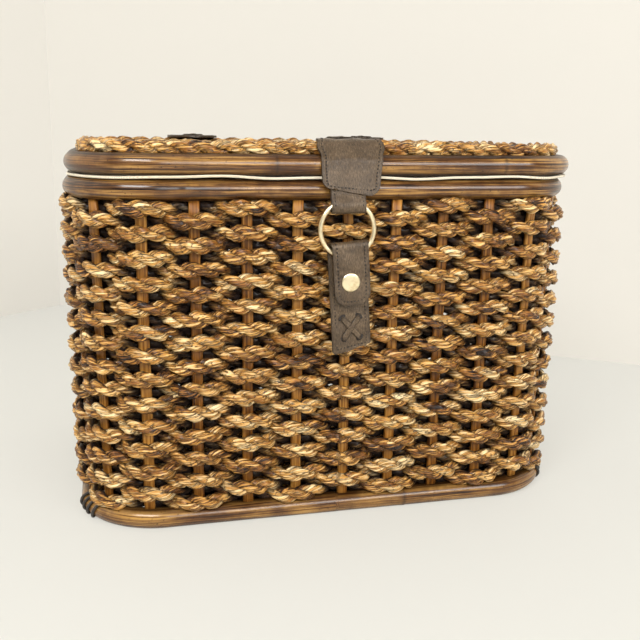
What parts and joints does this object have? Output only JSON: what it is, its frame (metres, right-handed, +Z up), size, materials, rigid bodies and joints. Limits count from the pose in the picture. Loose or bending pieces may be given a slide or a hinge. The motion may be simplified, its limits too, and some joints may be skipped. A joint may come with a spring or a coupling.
{
  "type": "wicker fishing creel",
  "caption": "Rope-woven fishing creel on a bent-rattan frame, with a hinged lid, leather hinge straps, a closing tab with a ring, and a snap strap",
  "frame": {"origin": "on the floor under the middle of the basket", "axes": "+Z up, -Y out of the front that carries the snap strap, +X to the right seen from the front; the width along X is the longest extent"},
  "size_m": [0.3951, 0.2934, 0.2823],
  "materials": {
    "rattan_pole": "stained and varnished, with lengthwise streaks and nodes",
    "splint": "satin, split rattan",
    "rope": "twisted dried-plant rope, lacquered, rough",
    "dark_cord": "waxed cord",
    "leather": "matt, napped, with dark stitching",
    "lining_cloth": "plain woven cotton",
    "pale_brass": "polished"
  },
  "bodies": {
    "basket": {"base_pole": "rattan_pole", "base_ribs": "splint", "base_weave": "rope", "base_lashings": "dark_cord", "wall_stakes": "splint", "wall_weave": "rope", "rim_pole": "rattan_pole", "strap_back": "leather", "strap_fold": "leather", "strap_lace": "leather", "snap_stud": "pale_brass", "hinge_strap_left_lower": "leather", "hinge_strap_right_lower": "leather", "hinge_laces_lower": "leather"},
    "lid": {"lid_pole": "rattan_pole", "lid_ribs": "splint", "lid_weave": "rope", "lid_border": "rope", "lid_lining": "lining_cloth", "tab_anchor": "leather", "tab_lace": "leather", "hinge_strap_left_upper": "leather", "hinge_strap_right_upper": "leather", "hinge_laces_upper": "leather"},
    "closure_tab": {"tab_flap": "leather", "ring_loop": "leather"},
    "pull_ring": {"ring": "pale_brass"},
    "snap_flap": {"strap_flap": "leather", "snap_cap": "pale_brass", "snap_socket": "pale_brass"}
  },
  "joints": [
    {"name": "lid_hinge", "type": "hinge", "parent": "basket", "child": "lid", "pos_m": [0, 0.1401, 0.2538], "axis": [-1, 0, 0], "range_deg": [0, 110], "deforming": ["strap_fold"]},
    {"name": "tab_hinge", "type": "hinge", "parent": "lid", "child": "closure_tab", "pos_m": [0, -0.1401, 0.2623], "axis": [-1, 0, 0], "range_deg": [0, 80], "deforming": ["strap_fold"]},
    {"name": "ring_swing", "type": "hinge", "parent": "closure_tab", "child": "pull_ring", "pos_m": [-0.001, -0.14425, 0.2382], "axis": [-1, 0, 0], "range_deg": [0, 110], "deforming": ["strap_fold", "ring_loop"]},
    {"name": "snap_flap_hinge", "type": "hinge", "parent": "basket", "child": "snap_flap", "pos_m": [-0.0005, -0.14425, 0.20674], "axis": [-0.9976, 0, -0.0698], "range_deg": [0, 150], "deforming": ["strap_fold"]}
  ]
}
